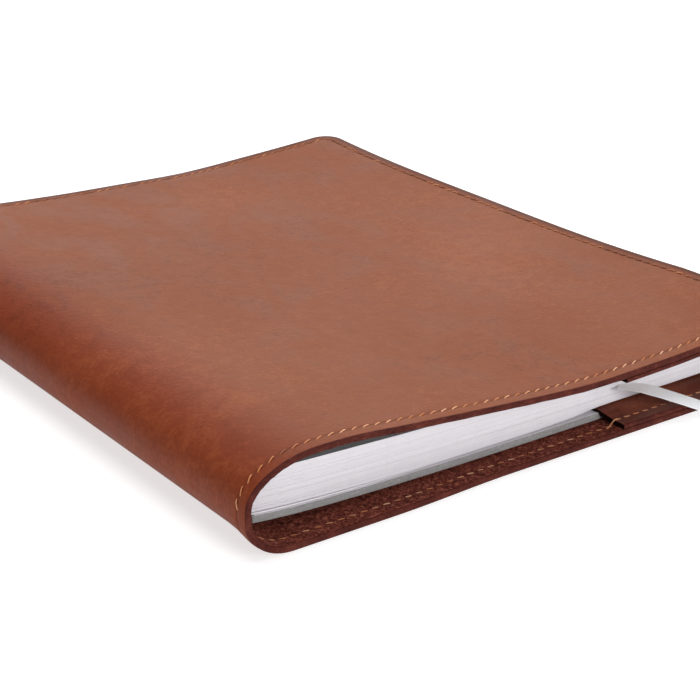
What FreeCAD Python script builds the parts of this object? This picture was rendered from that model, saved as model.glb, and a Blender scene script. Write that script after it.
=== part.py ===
"""A stitched leather cover closed round a hard-cover notebook, in millimetres.

X runs from the spine to the fore edge, Y from the tail to the head and Z up. The origin is
under the middle of the closed cover, on the surface that it lies on. Sections are drawn in
X and Z with X measured from the outside of the spine, and each piece is placed half a cover
width to the left.
"""

import FreeCAD
import Part
import Sketcher
import math
import os

SIZES = {
    "cover_length": 270,  # tail edge to head edge
    "cover_width": 218,  # outside of the spine to the fore edge
    "leather": 2.2,  # cover leather
    "fold_radius": 8,  # outside of the leather at both spine folds
    "low_fold_angle": 45,  # where the lower fold is split, from the spine's side
    "high_fold_angle": 62,  # where the upper fold is split
    "high_fold_height": 18.5,  # centre of the upper fold
    "fore_corner": 9,  # rounded fore corners
    "split_gap": 0.15,  # half the gap between leather sections
    "pocket_leather": 1.8,
    "mouth": 144,  # mouth of both pockets, from the spine
    "raised_end": 208.5,  # where a pocket steps down to its sewn rim
    "slot_end": 206.5,  # end of the room inside a pocket
    "raised_length": 254.5,
    "slot_length": 250.8,
    "slack": 0.1,  # clearance between layers that lie together
    "seam_clear": 0.02,  # clearance between a pocket's rim and the front panel
    "past_mouth": 5,  # how far the cut that makes a pocket's room runs past its mouth
    "past_leather": 1,  # and past the side that faces the cover
    "board": 2.6,
    "board_length": 250,
    "board_left": 12,
    "board_right": 206,
    "board_bottom": 2.5,
    "board_corner": 3,
    "paper": 0.2,
    "sheet_clear": 0.1,
    "page_length": 248,
    "page_left": 4,
    "page_right": 204,
    "swell_end": 60,  # the block thins from the spine to here
    "pinch_start": 130,  # the pockets start to press the block here
    "pinch_end": 143,
    "low_spine": 5.9,
    "low_pinch": 7.7,
    "low_fore": 9.3,
    "high_spine": 20.4,
    "high_swell": 18.5,
    "high_start": 16.9,
    "high_pinch": 14.9,
    "high_fore": 16.7,
    "signatures": 12,
    "lower_signatures": 8,
    "leaf_gap": 0.03,
    "ribbon_above": 7,  # the marker lies on this signature
    "ribbon_width": 6.5,
    "ribbon_thick": 0.16,
    "ribbon_room": 0.15,
    "ribbon_out": 1.5,  # how far the marker's inner length stands out of the block
    "ribbon_head": 8,  # where the marker is glued at the head, from the block's spine
    "cord_radius": 3.25,
    "strip_left": 2.4,
    "strip": 0.8,
    "mull": 0.25,
    "strip_low": 7.2,
    "strip_high": 19.5,
    "front_low": 22.4,  # outside of the front where it sags most
    "front_fore": 25.2,
    "sag": 136,
    "stitch": 2.8,
    "stitch_pitch": 4.1,
    "thread": 0.8,
    "seam_inset": 4.6,
    "seam_start": 3,  # first stitch of a panel, from its fold
    "seam_corner": 4,  # bare seam before a fore corner
    "seam_split": 1,  # bare seam beside a split in the leather
    "thread_sunk": 0.05,
    "thread_proud": 0.25,
}

# Outside of the front cover between the upper fold and its lowest point, from the spine.
CROWN = [(10.5, 28.0), (17, 29.3), (25, 29.8), (39, 29.2), (60, 27.0), (98, 23.9)]
# Underside of the front board, from the spine.
FRONT_BOARD = [(15, 21.0), (60, 19.3), (130, 17.45)]
# Middle of the ribbon where it lies free: out of the pages, over the edge, along the table.
RIBBON_ROUTE = [
    (42.0, -125.3, 11.9),
    (45.0, -133.5, 11.4),
    (54.0, -140.5, 9.2),
    (62.5, -148.5, 5.9),
    (73.5, -154.5, 3.7),
    (81.0, -164.5, 3.35),
    (83.0, -177.0, 3.3),
]

ARC_SHARE = 0.45  # share of a run of the ribbon that each arc beside it takes

doc = FreeCAD.newDocument("notebook_cover")
sheet = doc.addObject("Spreadsheet::Sheet", "Sizes")
for row, (alias, size) in enumerate(SIZES.items(), start=1):
    sheet.set(f"A{row}", alias)
    sheet.set(f"B{row}", str(size))
    sheet.setAlias(f"B{row}", alias)
doc.recompute()


def size(alias):
    """A driving dimension, read from the sheet."""
    return float(sheet.get(alias))


LEATHER = size("leather")
RADIUS = size("fold_radius")
HALF_LENGTH = size("cover_length") / 2
HIGH_FOLD = size("high_fold_height")
HIGH_ANGLE = size("high_fold_angle")


def formula(text):
    """text with each alias turned into a reference to the sheet."""
    words = []
    for word in text.split():
        words.append("Sizes." + word if word in SIZES else word)
    return " ".join(words)


def placed(obj, label):
    """Names a sub-part and moves it half a cover width to the left."""
    obj.Label = label
    obj.setExpression(".Placement.Base.x", formula("cover_width * -0.5"))
    return obj


def new_body(label):
    return placed(doc.addObject("PartDesign::Body", label), label)


def new_sketch(body, name, role="XZ_Plane"):
    plane = [p for p in body.Origin.OriginFeatures if p.Role == role][0]
    sketch = body.newObject("Sketcher::SketchObject", name)
    sketch.AttachmentSupport = [(plane, "")]
    sketch.MapMode = "FlatFace"
    return sketch


def outline(body, name, corners, role="XZ_Plane"):
    """A closed sketch with straight sides, each corner a pair of formulas of the sheet's sizes."""
    sketch = new_sketch(body, name, role)
    count = len(corners)
    turn = 2 * math.pi / count
    ring = [FreeCAD.Vector(50 * math.cos(i * turn), 50 * math.sin(i * turn), 0) for i in range(count)]
    for i in range(count):
        sketch.addGeometry(Part.LineSegment(ring[i], ring[(i + 1) % count]))
    for i in range(count):
        sketch.addConstraint(Sketcher.Constraint("Coincident", i, 2, (i + 1) % count, 1))
    for i, corner in enumerate(corners):
        for kind, start, text in zip(("DistanceX", "DistanceY"), (ring[i].x, ring[i].y), corner):
            index = sketch.addConstraint(Sketcher.Constraint(kind, -1, 1, i, 1, start))
            sketch.setExpression(f"Constraints[{index}]", formula(text))
    return sketch


def section(body, name, edges):
    """A closed sketch from lines and arcs given in (x, z)."""
    sketch = new_sketch(body, name)
    for edge in edges:
        sketch.addGeometry(edge)
    return sketch


def extruded(body, sketch, length, kind="Pad"):
    """Pads or pockets a section to both sides of the middle, length a formula."""
    feature = body.newObject("PartDesign::" + kind, sketch.Name + "_" + kind.lower())
    feature.Profile = sketch
    feature.Midplane = True
    feature.setExpression("Length", formula(length))
    doc.recompute()
    return feature


def rounded(body, x, radius):
    """Rounds the two corners of a body's fore edge, at x in the body's own frame."""
    base = body.Tip
    names = []
    for number, edge in enumerate(base.Shape.Edges, start=1):
        ends = [v.Point for v in edge.Vertexes]
        upright = len(ends) == 2 and abs(ends[0].y - ends[1].y) < 0.01
        if upright and all(abs(p.x - x) < 0.2 for p in ends) and abs(ends[0].z - ends[1].z) > 0.1:
            names.append(f"Edge{number}")
    fillet = body.newObject("PartDesign::Fillet", body.Name + "_corners")
    fillet.Base = (base, names)
    fillet.setExpression("Radius", formula(radius))
    doc.recompute()


def point(x, z):
    return FreeCAD.Vector(x, z, 0)


def on_fold(radius, angle, height):
    """A point of a spine fold, angle in degrees up from the spine's side, height its centre's."""
    turn = math.radians(angle)
    return point(RADIUS - radius * math.cos(turn), height + radius * math.sin(turn))


def fold_arc(radius, first, last, height):
    middle = (first + last) / 2
    return Part.Arc(
        on_fold(radius, first, height), on_fold(radius, middle, height), on_fold(radius, last, height)
    )


def line(a, b):
    return Part.LineSegment(a, b)


def offset(points, distance):
    """A line of points moved sideways to its right by distance, with mitred corners."""
    normals = []
    for a, b in zip(points, points[1:]):
        along = (b - a).normalize()
        normals.append(point(along.y, -along.x))
    moved = [points[0] + normals[0] * distance]
    for i in range(1, len(points) - 1):
        middle = (normals[i - 1] + normals[i]).normalize()
        moved.append(points[i] + middle * (distance / middle.dot(normals[i])))
    moved.append(points[-1] + normals[-1] * distance)
    return moved


# The angle that half the split gap takes on the fold's outside.
SPLIT = math.degrees(size("split_gap") / RADIUS)
LOW_ANGLE = size("low_fold_angle")
INNER = RADIUS - LEATHER


def make_back_panel():
    body = new_body("back_panel")
    fore = size("cover_width")
    start = -LOW_ANGLE - SPLIT
    edges = [
        fold_arc(RADIUS, start, -90, RADIUS),
        line(point(RADIUS, 0), point(fore, 0)),
        line(point(fore, 0), point(fore, LEATHER)),
        line(point(fore, LEATHER), point(RADIUS, LEATHER)),
        fold_arc(INNER, -90, start, RADIUS),
        line(on_fold(INNER, start, RADIUS), on_fold(RADIUS, start, RADIUS)),
    ]
    extruded(body, section(body, "back_section", edges), "cover_length")
    rounded(body, fore, "fore_corner")
    return body


def make_spine_panel():
    body = new_body("spine_panel")
    low = -LOW_ANGLE + SPLIT
    high = HIGH_ANGLE - SPLIT
    edges = [
        fold_arc(RADIUS, low, 0, RADIUS),
        line(point(0, RADIUS), point(0, HIGH_FOLD)),
        fold_arc(RADIUS, 0, high, HIGH_FOLD),
        line(on_fold(RADIUS, high, HIGH_FOLD), on_fold(INNER, high, HIGH_FOLD)),
        fold_arc(INNER, high, 0, HIGH_FOLD),
        line(point(LEATHER, HIGH_FOLD), point(LEATHER, RADIUS)),
        fold_arc(INNER, 0, low, RADIUS),
        line(on_fold(INNER, low, RADIUS), on_fold(RADIUS, low, RADIUS)),
    ]
    extruded(body, section(body, "spine_section", edges), "cover_length")
    return body


def front_outside():
    """The outside of the front cover, from the upper fold to the fore edge."""
    points = [on_fold(RADIUS, HIGH_ANGLE + SPLIT, HIGH_FOLD)]
    points += [point(x, z) for x, z in CROWN]
    points.append(point(size("sag"), size("front_low")))
    points.append(point(size("cover_width"), size("front_fore")))
    return points


def make_front_panel():
    body = new_body("front_panel")
    outside = front_outside()
    inside = offset(outside, LEATHER)
    inside[0] = on_fold(INNER, HIGH_ANGLE + SPLIT, HIGH_FOLD)
    ring = outside + inside[::-1]
    edges = [line(a, b) for a, b in zip(ring, ring[1:] + ring[:1])]
    extruded(body, section(body, "front_section", edges), "cover_length")
    rounded(body, size("cover_width"), "fore_corner")
    return body


def make_back_pocket():
    """A flap sewn round three sides, raised over the board that slides in under it."""
    body = new_body("back_pocket")
    top = "( leather + pocket_leather )"
    under = "( board_bottom + board + paper + 2 * slack )"
    rim = [("mouth", "leather"), ("cover_width", "leather"), ("cover_width", top), ("mouth", top)]
    lid_top = under + " + pocket_leather"
    lid = [("mouth", "leather"), ("raised_end", "leather"), ("raised_end", lid_top), ("mouth", lid_top)]
    start = "mouth - past_mouth"
    floor = "leather - past_leather"
    room = [(start, floor), ("slot_end", floor), ("slot_end", under), (start, under)]
    extruded(body, outline(body, "back_rim", rim), "cover_length")
    rounded(body, size("cover_width"), "fore_corner")
    extruded(body, outline(body, "back_lid", lid), "raised_length")
    extruded(body, outline(body, "back_room", room), "slot_length", "Pocket")
    return body


# Height of the front cover's inside at x, and of layers a distance under it, as formulas.
SLOPE = "( ( front_fore - front_low ) / ( cover_width - sag ) )"


def under_front(x, depth):
    return f"front_low + ( {x} - sag ) * {SLOPE} - leather - ( {depth} )"


def make_front_pocket():
    """The same flap, hanging under the front cover."""
    body = new_body("front_pocket")
    below = "board + paper + 4 * slack"
    low = below + " + pocket_leather"

    def band(x0, x1, high_depth, low_depth):
        return [
            (x0, under_front(x0, low_depth)),
            (x1, under_front(x1, low_depth)),
            (x1, under_front(x1, high_depth)),
            (x0, under_front(x0, high_depth)),
        ]

    rim = band("mouth", "cover_width", "seam_clear", "pocket_leather")
    lid = band("mouth", "raised_end", "seam_clear", low)
    room = band("( mouth - past_mouth )", "slot_end", "0 - past_leather", below)
    extruded(body, outline(body, "front_rim", rim), "cover_length")
    rounded(body, size("cover_width"), "fore_corner")
    extruded(body, outline(body, "front_lid", lid), "raised_length")
    extruded(body, outline(body, "front_room", room), "slot_length", "Pocket")
    return body


def make_back_board():
    body = new_body("back_board")
    top = "board_bottom + board"
    corners = [
        ("board_left", "board_bottom"),
        ("board_right", "board_bottom"),
        ("board_right", top),
        ("board_left", top),
    ]
    extruded(body, outline(body, "back_board_section", corners), "board_length")
    rounded(body, size("board_right"), "board_corner")
    return body


def front_board_line(depth):
    """Corners along the front board's underside, lowered by the formula depth."""
    corners = [(str(x), f"{z} - ( {depth} )") for x, z in FRONT_BOARD]
    for x in ("mouth", "board_right"):
        corners.append((x, under_front(x, f"board + 2 * slack + {depth}")))
    return corners


def make_front_board():
    body = new_body("front_board")
    corners = front_board_line("0") + front_board_line("0 - board")[::-1]
    extruded(body, outline(body, "front_board_section", corners), "board_length")
    rounded(body, size("board_right"), "board_corner")
    return body


STATIONS = ("page_left", "swell_end", "pinch_start", "pinch_end", "page_right")
LOW_LINE = ("low_spine", "low_spine", "low_spine", "low_pinch", "low_fore")
HIGH_LINE = ("high_spine", "high_swell", "high_start", "high_pinch", "high_fore")


def layer(share, shift):
    """Corners along a surface inside the page block: share 0 is its bottom and 1 its top."""
    corners = []
    for x, low, high in zip(STATIONS, LOW_LINE, HIGH_LINE):
        corners.append((x, f"{low} + ( {high} - {low} ) * {share} + ( {shift} )"))
    return corners


def make_leaves(label, low, high):
    """A sheet, or a slab of them, between two lines of corners."""
    body = new_body(label)
    extruded(body, outline(body, label + "_section", low + high[::-1]), "page_length")
    return body


def make_signature(number):
    """A folded and sewn gathering of leaves."""
    low_gap = "leaf_gap"
    high_gap = "0 - leaf_gap"
    if number == size("ribbon_above"):
        high_gap = "0 - ribbon_room"
    if number == size("ribbon_above") + 1:
        low_gap = "ribbon_room"
    low = layer(f"{number - 1} / signatures", low_gap)
    high = layer(f"{number} / signatures", high_gap)
    return make_leaves(f"signature_{number:02d}", low, high)


def upright_strip(label, x0, x1):
    body = new_body(label)
    corners = [(x0, "strip_low"), (x1, "strip_low"), (x1, "strip_high"), (x0, "strip_high")]
    extruded(body, outline(body, label + "_section", corners), "page_length")
    return body


def shaped(label, shape):
    """A Part::Feature with a shape made in the cover's own section frame."""
    feature = doc.addObject("Part::Feature", label)
    feature.Shape = shape
    return placed(feature, label)


def height_at(points, x):
    """Height of a line of points at x, and the line's slope there in degrees."""
    for a, b in zip(points, points[1:]):
        if a.x <= x <= b.x:
            rise = (b.y - a.y) / (b.x - a.x)
            return a.y + rise * (x - a.x), math.degrees(math.atan(rise))
    raise ValueError(f"{x} is off the line")


def stitch(x, y, z, depth, slope, along_y):
    """One turn of thread through the leather: from its outer side at z down through depth."""
    long_side = size("stitch")
    thread = size("thread")
    sides = (thread, long_side) if along_y else (long_side, thread)
    bar = Part.makeBox(sides[0], sides[1], depth, FreeCAD.Vector(-sides[0] / 2, -sides[1] / 2, -depth))
    turn = FreeCAD.Rotation(FreeCAD.Vector(0, 1, 0), -slope)
    bar.Placement = FreeCAD.Placement(FreeCAD.Vector(x, y, z), turn)
    return bar


def spread(first, last):
    """Evenly spaced places between two ends, about a stitch pitch apart."""
    count = round((last - first) / size("stitch_pitch"))
    step = (last - first) / count
    return [first + step * (i + 0.5) for i in range(count)]


def panel_stitches(label, outer, inward):
    """Thread along the tail, fore edge and head of a cover panel.

    outer is the line of the panel's outside. inward is -1 where the inside is below it and 1
    where it is above."""
    seam = HALF_LENGTH - size("seam_inset")
    fore = size("cover_width") - size("seam_inset")
    corner = size("seam_corner")
    start = outer[0].x + size("seam_start")
    places = [(x, y, False) for x in spread(start, fore - corner) for y in (-seam, seam)]
    places += [(fore, y, True) for y in spread(-seam + corner, seam - corner)]
    bars = []
    for x, y, along_y in places:
        z, slope = height_at(outer, x)
        through = LEATHER + size("thread_proud")
        if x > size("mouth"):
            through += size("pocket_leather")
        sunk = size("thread_sunk")
        top = z - sunk if inward < 0 else z + through
        bars.append(stitch(x, y, top, through - sunk, slope, along_y))
    return shaped(label, Part.makeCompound(bars))


def make_spine_stitches():
    """Thread round the spine's curve near its tail and head."""
    seam = HALF_LENGTH - size("seam_inset")
    low_run = RADIUS * math.radians(LOW_ANGLE)
    straight = HIGH_FOLD - RADIUS
    high_run = RADIUS * math.radians(HIGH_ANGLE)
    bare = size("seam_split")
    bars = []
    for run in spread(bare, low_run + straight + high_run - bare):
        angle = min(0, math.degrees((run - low_run) / RADIUS))
        angle += max(0, math.degrees((run - low_run - straight) / RADIUS))
        height = RADIUS + min(max(run - low_run, 0), straight)
        spot = on_fold(RADIUS - size("thread_sunk"), angle, height)
        depth = LEATHER + size("thread_proud") - size("thread_sunk")
        for y in (-seam, seam):
            bars.append(stitch(spot.x, y, spot.y, depth, 90 - angle, False))
    return shaped("spine_stitches", Part.makeCompound(bars))


def make_ribbon_marker():
    """The flat ribbon inside the block, from the head of the spine to where it comes out."""
    body = new_body("ribbon_layer")
    share = "ribbon_above / signatures"
    low = layer(share, "0 - ribbon_thick / 2")
    high = layer(share, "ribbon_thick / 2")
    extruded(body, outline(body, "ribbon_section", low + high[::-1]), "page_length + 2 * ribbon_out")
    head = FreeCAD.Vector(size("page_left") + size("ribbon_head"), size("page_length") / 2, 0)
    exit_x = RIBBON_ROUTE[0][0] + size("cover_width") / 2
    tail = FreeCAD.Vector(exit_x, -size("page_length") / 2 - size("ribbon_out"), 0)
    along = (tail - head).normalize()
    side = FreeCAD.Vector(-along.y, along.x, 0) * (size("ribbon_width") / 2)
    past = along * size("page_length")
    ring = [head + side, tail + side + past, tail - side + past, head - side]
    face = Part.Face(Part.makePolygon(ring + ring[:1]))
    band = shaped("ribbon_band", face.extrude(FreeCAD.Vector(0, 0, size("high_spine"))))
    marker = doc.addObject("Part::MultiCommon", "ribbon_marker")
    marker.Shapes = [body, band]
    marker.Label = "ribbon_marker"
    doc.recompute()
    return marker


def rounded_route(points):
    """Straight runs joined by tangent arcs, and the radius of each arc."""
    ends = [points[0]]
    arcs = []
    radii = []
    for before, here, after in zip(points, points[1:], points[2:]):
        back = before - here
        on = after - here
        turn = math.pi - back.getAngle(on)
        reach = ARC_SHARE * min(back.Length, on.Length)
        radii.append(reach / math.tan(turn / 2))
        a = here + back.normalize() * reach
        b = here + on.normalize() * reach
        bisector = (a + b) * 0.5 - here
        centre_away = radii[-1] / math.cos(turn / 2)
        middle = here + bisector.normalize() * (centre_away - radii[-1])
        arcs.append(Part.Arc(a, middle, b).toShape())
        ends += [a, b]
    ends.append(points[-1])
    edges = []
    for i, arc in enumerate(arcs):
        edges.append(line(ends[2 * i], ends[2 * i + 1]).toShape())
        edges.append(arc)
    edges.append(line(ends[-2], ends[-1]).toShape())
    return Part.Wire(edges), radii


def make_ribbon_tail():
    """The free end of the marker, as a tube as wide as the ribbon."""
    points = [FreeCAD.Vector(*p) for p in RIBBON_ROUTE]
    path, radii = rounded_route(points)
    radius = size("cord_radius")
    ring = Part.Wire(Part.makeCircle(radius, points[0], points[1] - points[0]))
    tube = path.makePipeShell([ring], True, True)
    expected = math.pi * radius**2 * path.Length
    print("ribbon length", round(path.Length, 1), "arc radii", [round(r, 1) for r in radii])
    print("ribbon volume / expected", round(tube.Volume / expected, 4))
    feature = doc.addObject("Part::Feature", "ribbon_tail")
    feature.Shape = tube
    feature.Label = "ribbon_tail"
    return feature


def check(part):
    """Stops on a failed feature or a bad shape."""
    for obj in doc.Objects:
        if {"Invalid", "Error"} & set(obj.State):
            raise RuntimeError(f"{obj.Label} failed: {obj.State}")
    if part.Shape.isNull() or not part.Shape.isValid() or not part.Shape.Solids:
        raise RuntimeError(f"{part.Label} has no valid shape")


def back_board_face(depth):
    """Corners along the back board's upper side, raised by the formula depth."""
    height = f"board_bottom + board + {depth}"
    return [("board_left", height), ("page_right", height)]


fore_line = [point(RADIUS, 0), point(size("cover_width"), 0)]
parts = [
    make_back_panel(),
    make_spine_panel(),
    make_front_panel(),
    make_back_pocket(),
    make_front_pocket(),
    panel_stitches("back_stitches", fore_line, 1),
    make_spine_stitches(),
    panel_stitches("front_stitches", front_outside(), -1),
    make_back_board(),
    make_front_board(),
    make_leaves("back_pastedown", back_board_face("0"), back_board_face("paper")),
    make_leaves("front_pastedown", front_board_line("paper"), front_board_line("0")),
    make_leaves("back_flyleaf", layer("0", "0 - sheet_clear - paper"), layer("0", "0 - sheet_clear")),
    make_leaves("front_flyleaf", layer("1", "sheet_clear"), layer("1", "sheet_clear + paper")),
    upright_strip("case_spine", "strip_left", "strip_left + strip"),
    upright_strip("mull", "strip_left + strip + slack", "strip_left + strip + slack + mull"),
]
for number in range(1, round(size("signatures")) + 1):
    parts.append(make_signature(number))
doc.recompute()
parts.append(make_ribbon_marker())
parts.append(make_ribbon_tail())
doc.recompute()

os.makedirs("parts", exist_ok=True)
for part in parts:
    check(part)
for part in parts:
    box = part.Shape.BoundBox
    print(
        f"{part.Label:18s} solids {len(part.Shape.Solids):4d}",
        f"x {box.XMin:8.2f} {box.XMax:8.2f}  y {box.YMin:8.2f} {box.YMax:8.2f}",
        f" z {box.ZMin:6.2f} {box.ZMax:6.2f}  volume {part.Shape.Volume:10.1f}",
    )
    part.Shape.exportStep(f"parts/{part.Label}.step")
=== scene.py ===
"""Looks for a stitched leather cover closed round a hard-cover notebook.

Metres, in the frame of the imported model: X from spine to fore edge, Y from tail to head, Z up.
Sections are drawn in millimetres from the outside of the spine and from the table, as (x, z).
"""

import math
import random

import bmesh
import bpy
import numpy as np
from mathutils import Matrix, Vector


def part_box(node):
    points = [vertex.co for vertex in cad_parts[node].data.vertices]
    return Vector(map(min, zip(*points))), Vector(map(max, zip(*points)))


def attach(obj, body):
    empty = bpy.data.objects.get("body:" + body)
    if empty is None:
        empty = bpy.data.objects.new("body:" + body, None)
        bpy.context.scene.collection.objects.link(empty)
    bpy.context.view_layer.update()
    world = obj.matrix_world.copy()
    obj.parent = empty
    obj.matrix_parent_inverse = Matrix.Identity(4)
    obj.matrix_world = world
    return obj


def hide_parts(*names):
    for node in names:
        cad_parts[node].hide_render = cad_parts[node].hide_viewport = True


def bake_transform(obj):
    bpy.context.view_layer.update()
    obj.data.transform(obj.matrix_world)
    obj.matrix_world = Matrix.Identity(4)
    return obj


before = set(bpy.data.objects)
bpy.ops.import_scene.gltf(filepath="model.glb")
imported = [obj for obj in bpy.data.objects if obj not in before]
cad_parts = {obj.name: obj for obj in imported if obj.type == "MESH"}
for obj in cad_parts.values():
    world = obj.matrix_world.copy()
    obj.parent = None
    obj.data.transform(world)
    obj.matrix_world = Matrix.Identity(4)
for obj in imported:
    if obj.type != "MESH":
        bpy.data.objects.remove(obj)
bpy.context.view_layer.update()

MM = 0.001
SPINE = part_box("spine_panel")[0].x
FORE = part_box("back_panel")[1].x
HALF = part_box("back_panel")[1].y
LEATHER = 2.2 * MM  # thickness of the cover
FLAP = 1.6 * MM  # thickness of a pocket
CORNER = 9 * MM  # radius of the fore corners
SEAM = 4.6 * MM  # seam to the cut edge
PITCH = 4.1 * MM  # from stitch to stitch
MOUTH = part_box("back_pocket")[0].x
TAIL_OF_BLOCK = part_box("signature_08")[0].y
BLOCK_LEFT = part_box("signature_08")[0].x
BLOCK_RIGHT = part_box("signature_08")[1].x
EPS = 0.2 * MM  # step for slopes


# ------------------------------ camera, light and floor

CAMERA_PLACE = Vector((-0.3398, -0.5050, 0.2428))
CAMERA_RIGHT = Vector((0.8117, -0.5840, 0.0))
CAMERA_UP = Vector((0.2216, 0.3080, 0.9252))
LENS = 91.54


def make_camera():
    data = bpy.data.cameras.new("camera")
    data.lens = LENS
    data.sensor_width = 36
    data.clip_start = 0.01
    camera = bpy.data.objects.new("camera", data)
    right = CAMERA_RIGHT.normalized()
    back = right.cross(CAMERA_UP).normalized()
    up = back.cross(right)
    turn = Matrix((right, up, back)).transposed()
    camera.matrix_world = Matrix.Translation(CAMERA_PLACE) @ turn.to_4x4()
    bpy.context.scene.collection.objects.link(camera)
    bpy.context.scene.camera = camera


def make_area_light(name, place, target, size, power):
    data = bpy.data.lights.new(name, "AREA")
    data.shape = "RECTANGLE"
    data.size, data.size_y = size
    data.energy = power
    light = bpy.data.objects.new(name, data)
    light.location = place
    aim = Vector(target) - Vector(place)
    light.rotation_euler = aim.to_track_quat("-Z", "Y").to_euler()
    bpy.context.scene.collection.objects.link(light)


def make_lights():
    scene = bpy.context.scene
    scene.view_settings.view_transform = "Standard"
    world = bpy.data.worlds.new("studio")
    world.use_nodes = True
    sky = world.node_tree.nodes["Background"]
    sky.inputs["Color"].default_value = (0.97, 0.98, 1.0, 1)
    sky.inputs["Strength"].default_value = 0.20
    scene.world = world
    make_area_light("overhead", (0.15, 0.25, 1.2), (0, 0, 0), (1.3, 1.1), 16)
    make_area_light("behind", (1.1, 1.5, 0.75), (0, 0, 0.02), (1.6, 0.9), 7.5)
    make_area_light("front", (0.35, -1.5, 0.55), (0, -0.1, 0.01), (1.3, 0.7), 14)


def make_floor():
    """A pale floor that glows a little, so that it is as white as the photo's and its shadows stay soft."""
    bpy.ops.mesh.primitive_plane_add(size=14, location=(0, 0, 0))
    floor = bpy.context.object
    floor.name = "floor"
    finish = bpy.data.materials.new("floor")
    finish.use_nodes = True
    shader = finish.node_tree.nodes["Principled BSDF"]
    shader.inputs["Base Color"].default_value = (0.55, 0.55, 0.55, 1)
    shader.inputs["Roughness"].default_value = 0.9
    shader.inputs["Specular IOR Level"].default_value = 0.1
    shader.inputs["Emission Color"].default_value = (1, 1, 1, 1)
    shader.inputs["Emission Strength"].default_value = 0.68
    floor.data.materials.append(finish)


make_camera()
make_lights()
make_floor()


# ------------------------------ curves


def smoothstep(a, b, x):
    t = np.clip((x - a) / (b - a), 0, 1)
    return t * t * (3 - 2 * t)


def smooth_line(points, steps=24):
    """A dense smooth line through a few points (Catmull-Rom with chord-length spacing)."""
    p = np.array(points, float)
    knots = np.concatenate([[0], np.cumsum(np.sqrt(np.linalg.norm(np.diff(p, axis=0), axis=1)))])
    slopes = np.zeros_like(p)
    for i in range(len(p)):
        a, b = max(i - 1, 0), min(i + 1, len(p) - 1)
        slopes[i] = (p[b] - p[a]) / (knots[b] - knots[a])
    line = []
    for i in range(len(p) - 1):
        gap = knots[i + 1] - knots[i]
        for t in np.linspace(0, 1, steps, endpoint=False):
            h00, h10 = 2 * t**3 - 3 * t**2 + 1, t**3 - 2 * t**2 + t
            h01, h11 = -2 * t**3 + 3 * t**2, t**3 - t**2
            line.append(h00 * p[i] + h10 * gap * slopes[i] + h01 * p[i + 1] + h11 * gap * slopes[i + 1])
    line.append(p[-1])
    return np.array(line)


class Path:
    """A line in a section, walked by the length along it and straight on past both ends."""

    def __init__(self, points):
        self.points = np.array(points, float)
        steps = np.linalg.norm(np.diff(self.points, axis=0), axis=1)
        self.along = np.concatenate([[0], np.cumsum(steps)])
        self.length = self.along[-1]

    def at(self, run):
        out = []
        for k in (0, 1):
            value = np.interp(run, self.along, self.points[:, k])
            first = (self.points[1, k] - self.points[0, k]) / self.along[1]
            last = (self.points[-1, k] - self.points[-2, k]) / (self.along[-1] - self.along[-2])
            value = value + np.minimum(run, 0) * first + np.maximum(run - self.length, 0) * last
            out.append(value)
        return out


def row_frame(points_mm):
    """Section points from millimetres off the spine to metres in the row frame."""
    p = np.array(points_mm, float) * MM
    p[:, 0] += SPINE
    return p


MIDDLE_OF_SPINE = 14.5  # height where the two lengths of leather meet

# Outside of the leather from the middle of the spine over the front to the fore edge.
TAIL_PROFILE = [
    (0, MIDDLE_OF_SPINE), (0.15, 16.8), (1.0, 19.2), (2.4, 21.3), (4.0, 22.9), (6.2, 24.5), (8.6, 25.8),
    (11.4, 27.1), (15.5, 28.4), (21, 29.25), (28, 29.45), (39, 29.0), (53, 27.6), (68, 26.3),
    (99, 24.0), (128, 22.35), (150, 22.65), (176, 23.5), (200, 25.6), (218, 27.8),
]
HEAD_PROFILE = [
    (0, MIDDLE_OF_SPINE), (0.15, 16.6), (1.0, 18.9), (2.4, 20.8), (4.2, 22.3), (7, 24.0), (11, 25.6),
    (16, 26.8), (23, 27.4), (31, 27.2), (41, 26.5), (56, 25.3), (83, 24.1), (110, 23.5), (135, 23.1),
    (150, 23.6), (170, 25.0), (191, 26.6), (218, 28.9),
]
# The same from the middle of the spine down and under the back, at the tail and elsewhere.
TAIL_FOLD = [
    (0, MIDDLE_OF_SPINE), (0, 12.4), (0.35, 9.1), (1.3, 6.7), (3.0, 4.5), (6.0, 2.1), (9.5, 0.7),
    (13.5, 0.08),
]
OPEN_FOLD = [(0, MIDDLE_OF_SPINE), (0.55, 10.8), (2.25, 7.3), (5.0, 4.25), (8.5, 1.95), (12.6, 0.5)]
UNDER_BACK = [(x, 0) for x in (18, 24, 40, 80, 120, 160, 200, 218)]
TAIL_CHANGE = 13 * MM  # how far in from the cut edge the fold keeps its tighter bend

BACK_TAIL_PATH = Path(row_frame(smooth_line(TAIL_FOLD + UNDER_BACK)))
BACK_OPEN_PATH = Path(row_frame(smooth_line(OPEN_FOLD + UNDER_BACK)))
BACK_LENGTH = BACK_OPEN_PATH.length
TAIL_PATH = Path(row_frame(smooth_line(TAIL_PROFILE)))
HEAD_PATH = Path(row_frame(smooth_line(HEAD_PROFILE)))
FRONT_LENGTH = TAIL_PATH.length


def back_surface(u, y):
    share = u / BACK_LENGTH
    tail = BACK_TAIL_PATH.at(share * BACK_TAIL_PATH.length)
    middle = BACK_OPEN_PATH.at(share * BACK_LENGTH)
    w = smoothstep(HALF - TAIL_CHANGE, HALF, np.abs(y))
    x = tail[0] * w + middle[0] * (1 - w)
    z = np.maximum(tail[1] * w + middle[1] * (1 - w), 0)
    flare = 1.6 * MM * smoothstep(6 * MM, 22 * MM, u) * (1 - smoothstep(60 * MM, 105 * MM, u))
    return np.stack([x, y - flare * smoothstep(-HALF + 40 * MM, -HALF, y), z], axis=1)


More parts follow.
